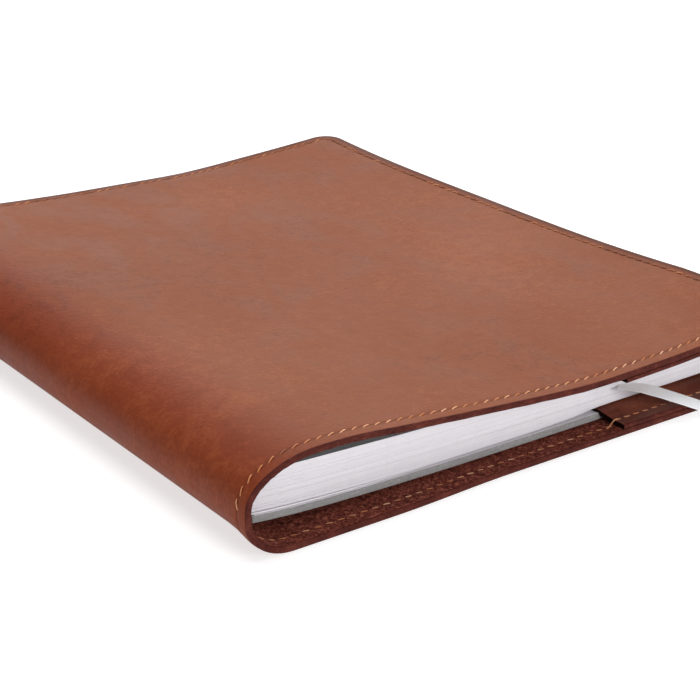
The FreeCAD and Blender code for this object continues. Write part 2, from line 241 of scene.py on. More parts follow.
def front_sag(x, y):
    """How far the front's fore half hangs between its two corners."""
    share = 1 - np.abs(np.clip((y - 28 * MM) / (115 * MM), -1, 1)) ** 2.2
    return 2.85 * MM * share * smoothstep(SPINE + 120 * MM, FORE, x)


def front_surface(u, y):
    share = u / FRONT_LENGTH
    tail = TAIL_PATH.at(share * TAIL_PATH.length)
    head = HEAD_PATH.at(share * HEAD_PATH.length)
    w = (y + HALF) / (2 * HALF)
    x = tail[0] * (1 - w) + head[0] * w
    z = tail[1] * (1 - w) + head[1] * w
    ripple = 0.30 * MM * np.sin(y * 41 + 0.6) * np.sin((x - SPINE) * 33)
    z = z - front_sag(x, y) + ripple * smoothstep(SPINE + 10 * MM, SPINE + 60 * MM, x)
    return np.stack([x, y + 0 * x, z], axis=1)


FRONT_TABLE = np.linspace(0, 1, 900)


def front_height(x, y):
    """Height of the front's outside above a place past the crown."""
    u = FRONT_TABLE * FRONT_LENGTH
    columns = []
    for edge in (-HALF, HALF):
        p = front_surface(u, np.full_like(u, edge))
        keep = u > 12 * MM
        flat = p[keep, 2] + front_sag(p[keep, 0], np.full(keep.sum(), edge))
        columns.append(np.interp(x, p[keep, 0], flat))
    w = (y + HALF) / (2 * HALF)
    return columns[0] * (1 - w) + columns[1] * w - front_sag(x, y)


# ------------------------------ closed sheets of leather

ARC_STEPS = 9
RIM_OUT = 0.45 * MM  # where the rounding of a cut edge starts
RIM_MID = 0.13 * MM
GROOVE_DEPTH = 0.28 * MM
# Rings of points round a sheet, in from its cut edge, close together where the seam's groove is.
RINGS = [d * MM for d in (0, 0.13, 0.45, 1.0, 1.9, 3.1, 3.8, 4.2, 4.6, 5.0, 5.4, 6.2, 7.6)]
FIRST_RING = 2  # the outermost ring of the two faces; the cut edge takes those before it


def rim_distance(u, y, length):
    """How far a place on a flat sheet is from its cut edge; the side at u 0 isn't cut."""
    qx, qy = u - (length - CORNER), np.abs(y) - (HALF - CORNER)
    outside = np.hypot(np.maximum(qx, 0), np.maximum(qy, 0))
    return CORNER - outside - np.minimum(np.maximum(qx, qy), 0)


def normals_of(surface, u, y):
    du = surface(u + EPS, y) - surface(u - EPS, y)
    dy = surface(u, y + EPS) - surface(u, y - EPS)
    n = np.cross(du, dy)
    return n / np.linalg.norm(n, axis=1, keepdims=True)


def ring_path(depth, length, columns, rows):
    """Flat points along a sheet's edge, depth in from it: tail, corner, fore edge, corner, head."""
    centre = (length - CORNER, HALF - CORNER)
    radius = CORNER - depth
    turns = np.linspace(0, math.pi / 2, ARC_STEPS + 1)[1:-1]
    path = [(u, -(HALF - depth)) for u in columns]
    path += [(centre[0] + radius * math.sin(a), -centre[1] - radius * math.cos(a)) for a in turns]
    path += [(length - depth, y) for y in rows]
    path += [(centre[0] + radius * math.cos(a), centre[1] + radius * math.sin(a)) for a in turns]
    path += [(u, HALF - depth) for u in columns[::-1]]
    return path


def make_mesh(name, points, faces, face_slots=None, uv=None, floats=None):
    mesh = bpy.data.meshes.new(name)
    mesh.from_pydata([tuple(p) for p in points], [], [tuple(int(i) for i in f) for f in faces])
    if face_slots is not None:
        mesh.polygons.foreach_set("material_index", np.array(face_slots, np.int32))
    if uv is not None:
        layer = mesh.uv_layers.new(name="flat")
        loops = np.zeros(len(mesh.loops), np.int32)
        mesh.loops.foreach_get("vertex_index", loops)
        layer.data.foreach_set("uv", np.asarray(uv, np.float32)[loops].ravel())
    for key, values in (floats or {}).items():
        attribute = mesh.attributes.new(key, "FLOAT", "POINT")
        attribute.data.foreach_set("value", np.asarray(values, np.float32))
    mesh.polygons.foreach_set("use_smooth", np.ones(len(mesh.polygons), bool))
    mesh.set_sharp_from_angle(angle=math.radians(55))
    mesh.update()
    thing = bpy.data.objects.new(name, mesh)
    bpy.context.scene.collection.objects.link(thing)
    return thing


def grid_border(node, columns, rows):
    """The border of the grid inside the rings, its corners repeated so that it matches a ring."""
    last_column, last_row = columns - 1, rows - 1
    path = [node(i, 0) for i in range(columns)]
    path += [node(last_column, 0)] * (ARC_STEPS - 1)
    path += [node(last_column, j) for j in range(rows)]
    path += [node(last_column, last_row)] * (ARC_STEPS - 1)
    path += [node(i, last_row) for i in reversed(range(columns))]
    return path


def face_quads(paths, node, columns, rows):
    """Faces between neighbouring rings, then over the grid inside them."""
    quads = []
    for a, b in zip(paths, paths[1:]):
        for p in range(len(a) - 1):
            quad = [a[p], a[p + 1], b[p + 1], b[p]]
            quads.append(list(dict.fromkeys(quad)))
    for i in range(columns - 1):
        for j in range(rows - 1):
            quads.append([node(i, j), node(i + 1, j), node(i + 1, j + 1), node(i, j + 1)])
    return quads


def edge_quads(strips, flip):
    """Faces of the rounded cut edge, between strips of points that run along it."""
    quads = []
    for a, b in zip(strips, strips[1:]):
        for p in range(len(a) - 1):
            quad = [a[p + 1], a[p], b[p], b[p + 1]]
            quads.append(quad[::-1] if flip else quad)
    return quads


def side_faces(side, strips, count, outward):
    """The plain side at u 0, and the two ends of the cut edge beside it."""
    faces = []
    for a, b in zip(side, side[1:]):
        quad = [a, b, b + count, a + count]
        faces.append(quad[::-1] if outward > 0 else quad)
    for end, flip in ((0, False), (-1, True)):
        cap = [strip[end] for strip in strips]
        faces.append(cap if flip == (outward > 0) else cap[::-1])
    return faces


def make_sheet(name, surface, length, thickness, outward, columns, rows, relief, side_slot=1):
    """A closed sheet with a rounded cut edge: its face is surface, its other side is inside.

    Material slots: 0 the face, 1 the cut edge, 2 the other side; side_slot is the side at u 0.
    """
    flat = []
    for depth in RINGS:
        flat += ring_path(depth, length, columns, rows)
    inside = len(flat)
    span = inside // len(RINGS)
    flat = np.array(flat + [(u, y) for u in columns for y in rows])
    count = len(flat)
    u, y = flat[:, 0], flat[:, 1]
    rim = rim_distance(u, y, length)
    base = surface(u, y)
    normal = normals_of(surface, u, y) * outward

    def node(i, j):
        return inside + i * len(rows) + j

    paths = [list(range(k * span, (k + 1) * span)) for k in range(FIRST_RING, len(RINGS))]
    side = [path[0] for path in paths] + [node(0, j) for j in range(len(rows))]
    side += [path[-1] for path in reversed(paths)]
    paths.append(grid_border(node, len(columns), len(rows)))
    quads = face_quads(paths, node, len(columns), len(rows))

    points = [base - normal * relief(u, y, rim)[:, None], base - normal * thickness]
    strips = [paths[0]]
    flat_edges = []
    start = 2 * count
    # The rounded cut edge: four strips of points between the two faces, by ring and depth.
    for ring, depth in ((1, RIM_MID), (0, RIM_OUT), (0, thickness - RIM_OUT), (1, thickness - RIM_MID)):
        part = slice(ring * span, (ring + 1) * span)
        ragged = fray(flat[part]) * (depth > thickness / 2)
        points.append(base[part] - normal[part] * (depth + ragged)[:, None])
        flat_edges.append(flat[part])
        strips.append(list(range(start, start + span)))
        start += span
    strips.append([i + count for i in paths[0]])

    edges = edge_quads(strips, outward < 0)
    sides = side_faces(side, strips, count, outward)
    faces = [q if outward > 0 else q[::-1] for q in quads]
    faces += [[i + count for i in (q[::-1] if outward > 0 else q)] for q in quads]
    faces += edges + sides
    slots = [0] * len(quads) + [2] * len(quads) + [1] * len(edges) + [side_slot] * len(sides)
    uv = np.concatenate([flat, flat, *flat_edges])
    rims = np.concatenate([rim, rim, np.zeros(span * len(flat_edges))])
    sheet = make_mesh(name, np.concatenate(points), faces, slots, uv, {"rim": rims})
    remove_loose(sheet, set(range(len(sheet.data.vertices))) - {i for f in faces for i in f})
    return sheet


def fray(flat):
    """A small unevenness along a cut edge on its flesh side."""
    u, y = flat[:, 0], flat[:, 1]
    a = np.sin(u * 1900 + 2 * np.sin(y * 700)) * np.sin(u * 610 + y * 450)
    b = np.sin(y * 1700 + 2 * np.sin(u * 500))
    return 0.09 * MM * (a + 0.5 * b)


def remove_loose(thing, loose):
    bm = bmesh.new()
    bm.from_mesh(thing.data)
    bm.verts.ensure_lookup_table()
    bmesh.ops.delete(bm, geom=[bm.verts[i] for i in loose], context="VERTS")
    bm.to_mesh(thing.data)
    bm.free()


def groove(u, y, rim):
    """The creased line that the seam lies in, and a slight fall towards the cut edge."""
    line = np.exp(-(((rim - SEAM) / (0.42 * MM)) ** 2))
    edge = 0.10 * MM * (1 - smoothstep(0, 1.6 * MM, rim))
    return GROOVE_DEPTH * line + edge


def shallow_groove(u, y, rim):
    return 0.5 * groove(u, y, rim)


def stops(*spans):
    """Places from a list of (end, step) spans starting at 0."""
    out = [0.0]
    for end, step in spans:
        count = max(1, round((end - out[-1]) / step))
        out += list(np.linspace(out[-1], end, count + 1)[1:])
    return out


def even_rows(step):
    reach = HALF - CORNER
    return list(np.linspace(-reach, reach, round(2 * reach / step) + 1))


def make_cover(name, surface, length, outward, bend, steps):
    """The cover's leather, with close columns of points along the bend."""
    along, across = steps
    columns = stops((bend, 1.2 * MM), (length - CORNER, along))
    return make_sheet(name, surface, length, LEATHER, outward, columns, even_rows(across), groove)


# ------------------------------ pockets

FLAP_WIDTH = FORE - MOUTH
RISE_START, RISE_END = 5.6 * MM, 10.6 * MM
BACK_FLAP_TOP = 6.68 * MM
MOUTH_LEAN = 2.8 * MM
FRONT_SLOPE = (25.2 - 22.4) / (218 - 136)
FRONT_FLAP_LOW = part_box("front_pocket")[0].z + 0.15 * MM


def flap_rise(u, y):
    t = np.clip((rim_distance(u, y, FLAP_WIDTH) - RISE_START) / (RISE_END - RISE_START), -0.2, 1.2)
    soft = 0.09
    ramp = (np.logaddexp(0, t / soft) - np.logaddexp(0, (t - 1) / soft)) * soft
    return np.clip(ramp, 0, 1)


def back_flap_surface(u, y):
    rim_top = LEATHER + FLAP + 0.02 * MM
    rise = flap_rise(u, y)
    z = rim_top + (BACK_FLAP_TOP - rim_top) * rise
    lean = MOUTH_LEAN * rise * (1 - smoothstep(0, 25 * MM, u))
    return np.stack([MOUTH + u - lean, y + 0 * u, z], axis=1)


def front_flap_surface(u, y):
    x = MOUTH + u
    rim_low = front_height(x, y) - LEATHER - FLAP - 0.02 * MM
    under_board = FRONT_FLAP_LOW + FRONT_SLOPE * u
    rise = flap_rise(u, y)
    return np.stack([x, y + 0 * u, rim_low * (1 - rise) + under_board * rise], axis=1)


def make_pocket(name, surface, outward):
    columns = stops((FLAP_WIDTH - CORNER, 5 * MM))
    rows = even_rows(5 * MM)
    return make_sheet(name, surface, FLAP_WIDTH, FLAP, outward, columns, rows, shallow_groove, 3)


# ------------------------------ thread

STITCH = 3.4 * MM
THREAD_RADIUS = 0.205 * MM
THREAD_SIDES = 7
SLANT = math.radians(24)
INNER_SLANT = math.radians(-14)
INNER_STITCH = 0.86  # share of a stitch that shows on the flesh side
STITCH_SHARES = (-1.0, -0.92, -0.7, -0.3, 0.1, 0.5, 0.8, 0.95, 1.0)  # where a stitch has rings of points
STITCH_DIP = 0.50 * MM  # how far its ends go down into the leather


def seam_places(length):
    """(u, y, heading) of each stitch along the seam of a flat sheet, heading in radians."""
    radius = CORNER - SEAM
    straight = length - CORNER
    fore = 2 * (HALF - CORNER)
    arc = radius * math.pi / 2
    total = 2 * straight + 2 * arc + fore
    count = round(total / PITCH)
    places = []
    for i in range(count):
        run = (i + 0.5) * total / count
        if run < straight:
            places.append((run, -(HALF - SEAM), 0.0))
            continue
        run -= straight
        if run < arc:
            a = run / radius
            places.append((straight + radius * math.sin(a), -(HALF - CORNER) - radius * math.cos(a), a))
            continue
        run -= arc
        if run < fore:
            places.append((length - SEAM, -(HALF - CORNER) + run, math.pi / 2))
            continue
        run -= fore
        if run < arc:
            a = run / radius
            places.append(
                (straight + radius * math.cos(a), HALF - CORNER + radius * math.sin(a), math.pi / 2 + a)
            )
            continue
        places.append((straight - (run - arc), HALF - SEAM, math.pi))
    return places


class Threads:
    """Tubes of thread, gathered for one mesh."""

    def __init__(self):
        self.points, self.faces, self.tints = [], [], []

    def add(self, spots, radius, tint):
        """A closed tube through spots, a list of (place, across, out)."""
        start = len(self.points)
        for k, (place, across, out) in enumerate(spots):
            end_share = 0.72 if k in (0, len(spots) - 1) else 1.0
            for s in range(THREAD_SIDES):
                a = 2 * math.pi * s / THREAD_SIDES
                offset = across * math.cos(a) * 1.1 + out * math.sin(a) * 0.9
                self.points.append(place + offset * radius * end_share)
                self.tints.append(tint)
        last = start + (len(spots) - 1) * THREAD_SIDES
        for a in range(start, last, THREAD_SIDES):
            b = a + THREAD_SIDES
            for s in range(THREAD_SIDES):
                t = (s + 1) % THREAD_SIDES
                self.faces.append([a + s, a + t, b + t, b + s])
        self.faces.append([start + s for s in reversed(range(THREAD_SIDES))])
        self.faces.append([last + s for s in range(THREAD_SIDES)])


def stitch_wear_and_shade(u, y):
    """How dark a stitch is: darker from handling along the fore edge and head, and painted shade over the
    bend, as on the leather there.
    """
    if y > -(HALF - SEAM) + 1 * MM:
        return 0.75
    return 0.6 * (1 - smoothstep(18 * MM, 48 * MM, u))


def stitch_frame(surface, u, y, heading, outward, depth):
    """A stitch's place, the directions along and across its seam, and the way out of its side."""
    at_u, at_y = np.array([u]), np.array([y])
    out = normals_of(surface, at_u, at_y)[0] * outward
    here = surface(at_u, at_y)[0]
    if depth > 0:
        here = here - out * depth
        out = -out
    step_u, step_y = EPS * math.cos(heading), EPS * math.sin(heading)
    ahead = surface(at_u + step_u, at_y + step_y)[0]
    behind = surface(at_u - step_u, at_y - step_y)[0]
    along = (ahead - behind) / np.linalg.norm(ahead - behind)
    return here, along, np.cross(out, along), out


def add_seam(threads, sheet, depth_of, lift, slant, shown, rng):
    """Stitches along one side of a seam in sheet, a (surface, length, outward).

    depth_of(u) is how far in from the surface that side is.
    """
    surface, length, outward = sheet
    for u, y, heading in seam_places(length):
        depth = depth_of(u)
        here, along, across, out = stitch_frame(surface, u, y, heading, outward, depth)
        turn = slant + rng.uniform(-0.06, 0.06)
        line = along * math.cos(turn) + across * math.sin(turn)
        side = np.cross(out, line)
        reach = STITCH / 2 * shown * rng.uniform(0.93, 1.05)
        high = lift + rng.uniform(-0.04, 0.04) * MM
        spots = []
        for share in STITCH_SHARES:
            height = high - STITCH_DIP * abs(share) ** 5
            spots.append((here + line * reach * share + out * height, side, out))
        # Outer stitches are dimmed by handling and, over the bend, by painted shade.
        wear_and_shade = 0 if depth > 0 else stitch_wear_and_shade(u, y)
        threads.add(spots, THREAD_RADIUS, rng.uniform(0, 1) - wear_and_shade)


def outer_side(u):
    return 0


def inner_side(length):
    """Depth of the inner side: bare leather before the pocket's mouth, covered past it."""
    mouth = length - FLAP_WIDTH

    def depth(u):
        return LEATHER + FLAP if u > mouth else LEATHER

    return depth


def add_mouth_thread(threads):
    """The longer thread that crosses the mouth's edge of the back pocket to bind it."""
    y = -(HALF - SEAM)
    low, high = LEATHER + 0.1 * MM, LEATHER + FLAP + 0.25 * MM
    route = [
        (-4.3, -0.9, low - 0.5 * MM), (-4.0, -0.8, low), (-3.0, -0.55, low + 0.15 * MM),
        (-1.6, -0.25, low + 0.9 * MM), (-0.5, 0.0, high - 0.15 * MM), (0.4, 0.1, high),
        (1.6, 0.2, high - 0.1 * MM), (1.9, 0.2, high - 0.7 * MM),
    ]
    spots = []
    for dx, dy, z in route:
        place = np.array([MOUTH + dx * MM, y + dy * MM, z])
        spots.append((place, np.array([0, 1.0, 0]), np.array([-0.35, 0, 0.94])))
    threads.add(spots, THREAD_RADIUS * 0.9, 0.4)


def make_stitches(name, surface, length, outward, outer_lift):
    rng = random.Random(name)
    threads = Threads()
    sheet = (surface, length, outward)
    add_seam(threads, sheet, outer_side, outer_lift, SLANT, 1, rng)
    add_seam(threads, sheet, inner_side(length), -0.02 * MM, INNER_SLANT, INNER_STITCH, rng)
    if outward < 0:
        add_mouth_thread(threads)
    return make_mesh(name, threads.points, threads.faces, floats={"tint": threads.tints})


# ------------------------------ notebook

LOW_LINE = [
    (4, 9.0), (12, 8.55), (18, 7.95), (25, 7.5), (32, 7.05), (40, 6.65), (54, 6.1), (70, 5.75),
    (90, 5.6), (118, 5.6), (128, 5.75), (137, 6.5), (145, 7.0), (170, 7.05), (204, 7.3),
]
HIGH_LINE = [
    (4, 20.6), (15, 20.5), (30, 19.95), (60, 18.95), (95, 17.95), (125, 17.15), (133, 16.4),
    (141, 15.2), (150, 15.2), (170, 15.75), (204, 16.8),
]
BOARD_LINE = [
    (8.5, 7.95), (12, 7.55), (18, 7.0), (25, 6.5), (32, 6.15), (40, 5.85), (54, 5.4), (70, 5.1),
    (90, 4.9), (120, 4.85), (160, 4.85), (206, 4.85),
]
BOARD_THICK = 2.25 * MM
BOARD_LEFT = SPINE + 8.5 * MM
SIGNATURES = 12
LEAVES = 8
LOWER = 8  # signatures that stay with the back
LEAF_GAP = 0.035  # share of a leaf's room left open on each side
SQUEEZE = 0.982  # share of a signature's room that its leaves fill
FOLD_REACH = 1.6 * MM  # how far a signature's fold draws its leaves together
# Where a leaf has rows of points, as shares of its width.
LEAF_SHARES = np.array(
    [0, 0.01, 0.03, 0.07, 0.13, 0.2, 0.28, 0.37, 0.46, 0.55, 0.63, 0.68, 0.72, 0.78, 0.86, 0.93, 1.0]
)
BOTTOM_PATH = row_frame(smooth_line(LOW_LINE))
TOP_PATH = row_frame(smooth_line(HIGH_LINE))
BOARD_PATH = row_frame(smooth_line(BOARD_LINE))


def block_height(x, share):
    low = np.interp(x, BOTTOM_PATH[:, 0], BOTTOM_PATH[:, 1])
    high = np.interp(x, TOP_PATH[:, 0], TOP_PATH[:, 1])
    return low + (high - low) * share


def board_height(x):
    return float(np.interp(x, BOARD_PATH[:, 0], BOARD_PATH[:, 1]))


def rounded_spine(share):
    """Where a leaf starts, so that the block's spine is rounded."""
    return SPINE + 5.0 * MM + 1.8 * MM * abs(2 * share - 1) ** 2.2


def still(x, y):
    return 0.0


def add_leaf(points, faces, low, high, x_ends, y_ends, wave=still):
    """A thin sheet between two height functions of x, waved a little along its edges."""
    xs = x_ends[0] + (x_ends[1] - x_ends[0]) * LEAF_SHARES
    ys = np.linspace(*y_ends, 9)
    start = len(points)
    for surface in (low, high):
        for x in xs:
            z = surface(x)
            for y in ys:
                points.append((x, y, z + wave(x, y)))
    rows, columns = len(ys), len(xs)
    layer = rows * columns

    def node(side, i, j):
        return start + side * layer + i * rows + j

    for i in range(columns - 1):
        for j in range(rows - 1):
            quad = [(i, j), (i, j + 1), (i + 1, j + 1), (i + 1, j)]
            faces.append([node(0, *q) for q in quad])
            faces.append([node(1, *q) for q in reversed(quad)])
    around = [(i, 0) for i in range(columns)] + [(columns - 1, j) for j in range(1, rows)]
    around += [(i, rows - 1) for i in reversed(range(columns - 1))]
    around += [(0, j) for j in reversed(range(1, rows - 1))]
    for a, b in zip(around, around[1:] + around[:1]):
        faces.append([node(0, *a), node(0, *b), node(1, *b), node(1, *a)])


def leaf_height(share, centre):
    """Height along x of a leaf's face; the leaves of a signature meet in its fold at the spine."""
    start = rounded_spine(centre)

    def height(x):
        fold = math.exp(-max(x - start, 0) / FOLD_REACH)
        return float(block_height(x, share + (centre - share) * 0.55 * fold))

    return height


def leaf_wave(phase):
    def wave(x, y):
        return 0.012 * MM * math.sin(38 * y + phase + 20 * x)

    return wave


def make_pages(number):
    """One signature; its leaves come in pairs that share a sheet and so its small misfit."""
    rng = random.Random(number)
    points, faces = [], []
    count = SIGNATURES * LEAVES
    centre = (number - 0.5) / SIGNATURES
    ends = [rng.uniform(-0.035, 0.035) * MM for _ in range(LEAVES // 2)]
    shift = rng.uniform(-0.05, 0.05) * MM
    for leaf in range(LEAVES):
        index = (number - 1) * LEAVES + leaf
        low = leaf_height(centre + ((index + LEAF_GAP) / count - centre) * SQUEEZE, centre)
        high = leaf_height(centre + ((index + 1 - LEAF_GAP) / count - centre) * SQUEEZE, centre)
        nudge = shift + ends[min(leaf, LEAVES - 1 - leaf)]
        wave = leaf_wave(rng.uniform(0, 6.28))
        x_ends = (rounded_spine(centre) + rng.uniform(0, 0.1) * MM, BLOCK_RIGHT + nudge)
        y_ends = (TAIL_OF_BLOCK + nudge, -TAIL_OF_BLOCK + nudge)
        add_leaf(points, faces, low, high, x_ends, y_ends, wave)
    return make_mesh(f"pages_{number:02d}", points, faces)


def make_flyleaf(name, low, high):
    """A free endpaper beside the block."""
    points, faces = [], []
    x_ends = (rounded_spine(0), BLOCK_RIGHT - 0.1 * MM)
    add_leaf(points, faces, low, high, x_ends, (TAIL_OF_BLOCK, -TAIL_OF_BLOCK))
    return make_mesh(name, points, faces)


def under_block(share):
    """Height of a layer under the block: it hangs lower near the spine, where the block opens."""

    def height(x):
        block = float(block_height(x, 0))
        room = block - board_height(x)
        free = 1 - smoothstep(SPINE + 42 * MM, SPINE + 80 * MM, x)
        hang = 0.28 * MM + (room - 0.28 * MM) * free
        return block - share * hang

    return height


def over_block(gap):
    def height(x):
        return float(block_height(x, 1)) + gap

    return height


def over_board(gap):
    """Height of a layer gap above the back board's upper face, or below it if gap is negative."""

    def height(x):
        return board_height(x) + gap

    return height


def make_back_board():
    points, faces = [], []
    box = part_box("back_board")
    x_ends, y_ends = (BOARD_LEFT, box[1].x), (box[0].y, box[1].y)
    add_leaf(points, faces, over_board(-BOARD_THICK), board_height, x_ends, y_ends)
    return make_mesh("board_back", points, faces)


def make_back_pastedown():
    points, faces = [], []
    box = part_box("back_board")
    inset = 0.3 * MM
    x_ends = (BOARD_LEFT + 1 * MM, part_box("back_pastedown")[1].x)
    y_ends = (box[0].y + inset, box[1].y - inset)
    add_leaf(points, faces, over_board(0.02 * MM), over_board(0.12 * MM), x_ends, y_ends)
    return make_mesh("pastedown_back", points, faces)


def make_spine_strip(name, gap, thick, half, low, high):
    """A strip that follows the inside of the leather's spine, gap away from it."""
    runs = np.linspace(-20 * MM, 20 * MM, 81)
    line = []
    for run in runs:
        surface, outward = (back_surface, -1) if run < 0 else (front_surface, 1)
        at = np.array([abs(run)]), np.array([0.0])
        out = normals_of(surface, *at)[0] * outward
        place = surface(*at)[0]
        near = place - out * (LEATHER + gap)
        if low <= near[2] <= high:
            line.append((near, place - out * (LEATHER + gap + thick)))
    points, faces = [], []
    for y in (-half, half):
        for near, far in line:
            points += [(near[0], y, near[2]), (far[0], y, far[2])]
    n = len(line)
    for i in range(n - 1):
        a, b = 2 * i, 2 * i + 2
        c, d = a + 2 * n, b + 2 * n
        faces += [[a, c, d, b], [a + 1, b + 1, d + 1, c + 1], [a, b, b + 1, a + 1], [c, c + 1, d + 1, d]]
    last = 2 * n - 2
    faces += [[0, 1, 1 + 2 * n, 2 * n], [last, last + 2 * n, last + 1 + 2 * n, last + 1]]
    return make_mesh(name, points, faces)


# ------------------------------ ribbon marker

RIBBON_WIDTH = 6.5 * MM
RIBBON_THICK = 0.22 * MM
RIBBON_TILT = math.radians(11)
RIBBON_SHARE = 7 / SIGNATURES
RIBBON_ROUTE = [
    (42.0, -124.3, 12.25),
    (43.6, -126.3, 12.2),
    (49.5, -130.0, 11.0),
    (57.0, -134.5, 7.9),
    (65.5, -140.0, 4.2),
    (73.0, -146.0, 1.4),
    (79.5, -154.5, 0.4),
    (82.5, -165.5, 0.35),
    (83.0, -177.0, 0.35),
]


def spline_points(points_mm):
    curve = bpy.data.curves.new("route", "CURVE")
    curve.dimensions = "3D"
    curve.resolution_u = 14
    spline = curve.splines.new("NURBS")
    spline.points.add(len(points_mm) - 1)
    for spot, place in zip(spline.points, points_mm):
        spot.co = (*[c * MM for c in place], 1)
    spline.order_u = 3
    spline.use_endpoint_u = True
    holder = bpy.data.objects.new("route", curve)
    mesh = bpy.data.meshes.new_from_object(holder)
    line = np.array([v.co for v in mesh.vertices], float)
    bpy.data.objects.remove(holder)
    bpy.data.meshes.remove(mesh)
    bpy.data.curves.remove(curve)
    return line


def make_strip(name, line, across, out, width, thick):
    """A flat ribbon along line, with its width along across and its face along out."""
    points, faces, uv = [], [], []
    shares = np.linspace(-0.5, 0.5, 7)
    run = np.concatenate([[0], np.cumsum(np.linalg.norm(np.diff(line, axis=0), axis=1))])
    for i, place in enumerate(line):
        for side in (1, -1):
            for s in shares:
                puff = thick / 2 * (1 - 0.5 * abs(2 * s) ** 3)
                points.append(place + across[i] * width * s + out[i] * puff * side)
                uv.append((run[i], s * width))
    per, row = len(shares), 2 * len(shares)
    for i in range(len(line) - 1):
        a, b = i * row, (i + 1) * row
        for k in range(per - 1):
            faces.append([a + k, a + k + 1, b + k + 1, b + k])
            faces.append([a + per + k + 1, a + per + k, b + per + k, b + per + k + 1])
        faces.append([a + per, a, b, b + per])
        faces.append([a + per - 1, a + row - 1, b + row - 1, b + per - 1])
    end_face = list(range(per)) + list(range(row - 1, per - 1, -1))
    faces.append(end_face)
    last = (len(line) - 1) * row
    faces.append([last + k for k in reversed(end_face)])
    return make_mesh(name, points, faces, uv=uv)


def directions(line):
    """Unit vectors along a line of places, and level across it."""
    ahead = np.gradient(line, axis=0)
    ahead /= np.linalg.norm(ahead, axis=1, keepdims=True)
    level = np.cross(np.array([0, 0, 1.0]), ahead)
    level /= np.linalg.norm(level, axis=1, keepdims=True)
    return ahead, level


def make_ribbon():
    line = spline_points(RIBBON_ROUTE)
    ahead, level = directions(line)
    up = np.cross(ahead, level)
    z = line[:, 2]
    tilt = RIBBON_TILT * smoothstep(12.3 * MM, 10.5 * MM, z) * smoothstep(0.4 * MM, 6 * MM, z)
    across = level * np.cos(tilt)[:, None] + up * np.sin(tilt)[:, None]
    out = np.cross(ahead, across)
    return make_strip("ribbon", line, across, out, RIBBON_WIDTH, RIBBON_THICK), line


def make_inner_ribbon():
    """The marker's length inside the block, from the head of the spine to its exit."""
    head = np.array([BLOCK_LEFT + 6 * MM, -TAIL_OF_BLOCK - 1 * MM])
    tail = np.array(RIBBON_ROUTE[0][:2]) * MM
    flat = head + (tail - head) * np.linspace(0, 1, 60)[:, None]
    line = np.column_stack([flat, block_height(flat[:, 0], RIBBON_SHARE)])
    ahead, level = directions(line)
    return make_strip("ribbon_inside", line, level, np.cross(ahead, level), RIBBON_WIDTH, 0.1 * MM)


# ------------------------------ materials


